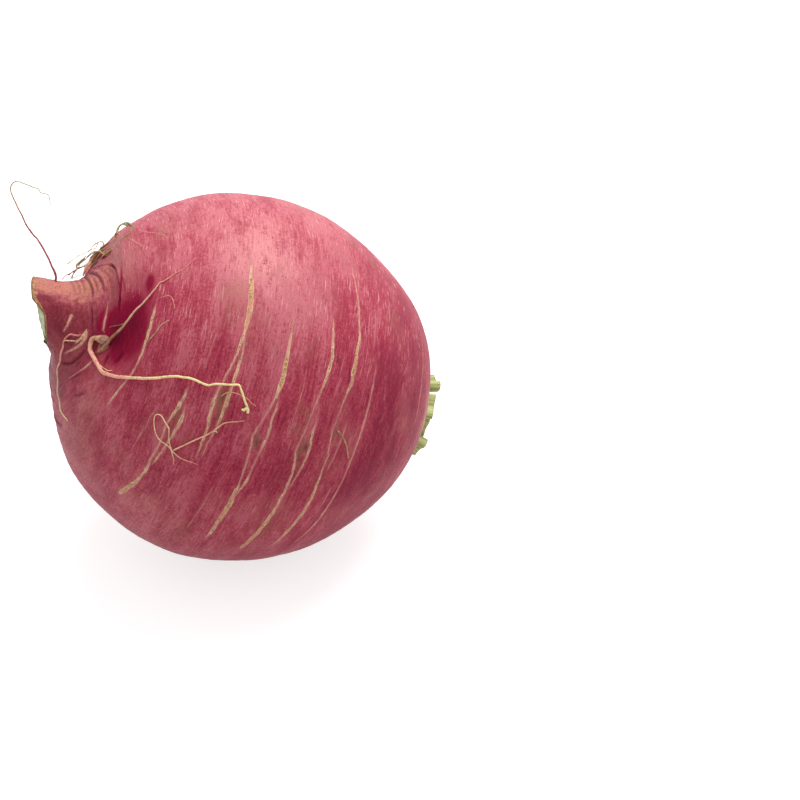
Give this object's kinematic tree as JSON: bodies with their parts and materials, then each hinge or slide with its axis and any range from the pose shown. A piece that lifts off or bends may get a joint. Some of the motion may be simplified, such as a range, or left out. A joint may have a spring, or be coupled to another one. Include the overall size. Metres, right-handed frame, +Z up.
{
  "type": "radish",
  "caption": "Round red radish with its tail root cut short, thin side roots still on it and the leaf stalks trimmed off the crown; rests on a small flat spot.",
  "frame": {"origin": "the middle of the small flat spot under the root, where it meets the surface it rests on", "axes": "+Z is up. The cut tail root points to -X, raised about 23 degrees, and the crown to +X and down. -Y is the front, where the thick side root runs round the globe"},
  "size_m": [0.1076, 0.0973, 0.1051],
  "materials": {
    "skin": "fresh radish skin, satin, pink-red with pale corky lines round it",
    "cut_flesh": "dried cut face of the tail root, pale grey-green pith in a tan rim",
    "side_root": "thin side roots, pink where they leave the skin and straw-coloured further on",
    "leaf_stalk": "trimmed leaf stalks, yellow-green"
  },
  "bodies": {
    "root": {"radish": "skin"}
  },
  "joints": []
}
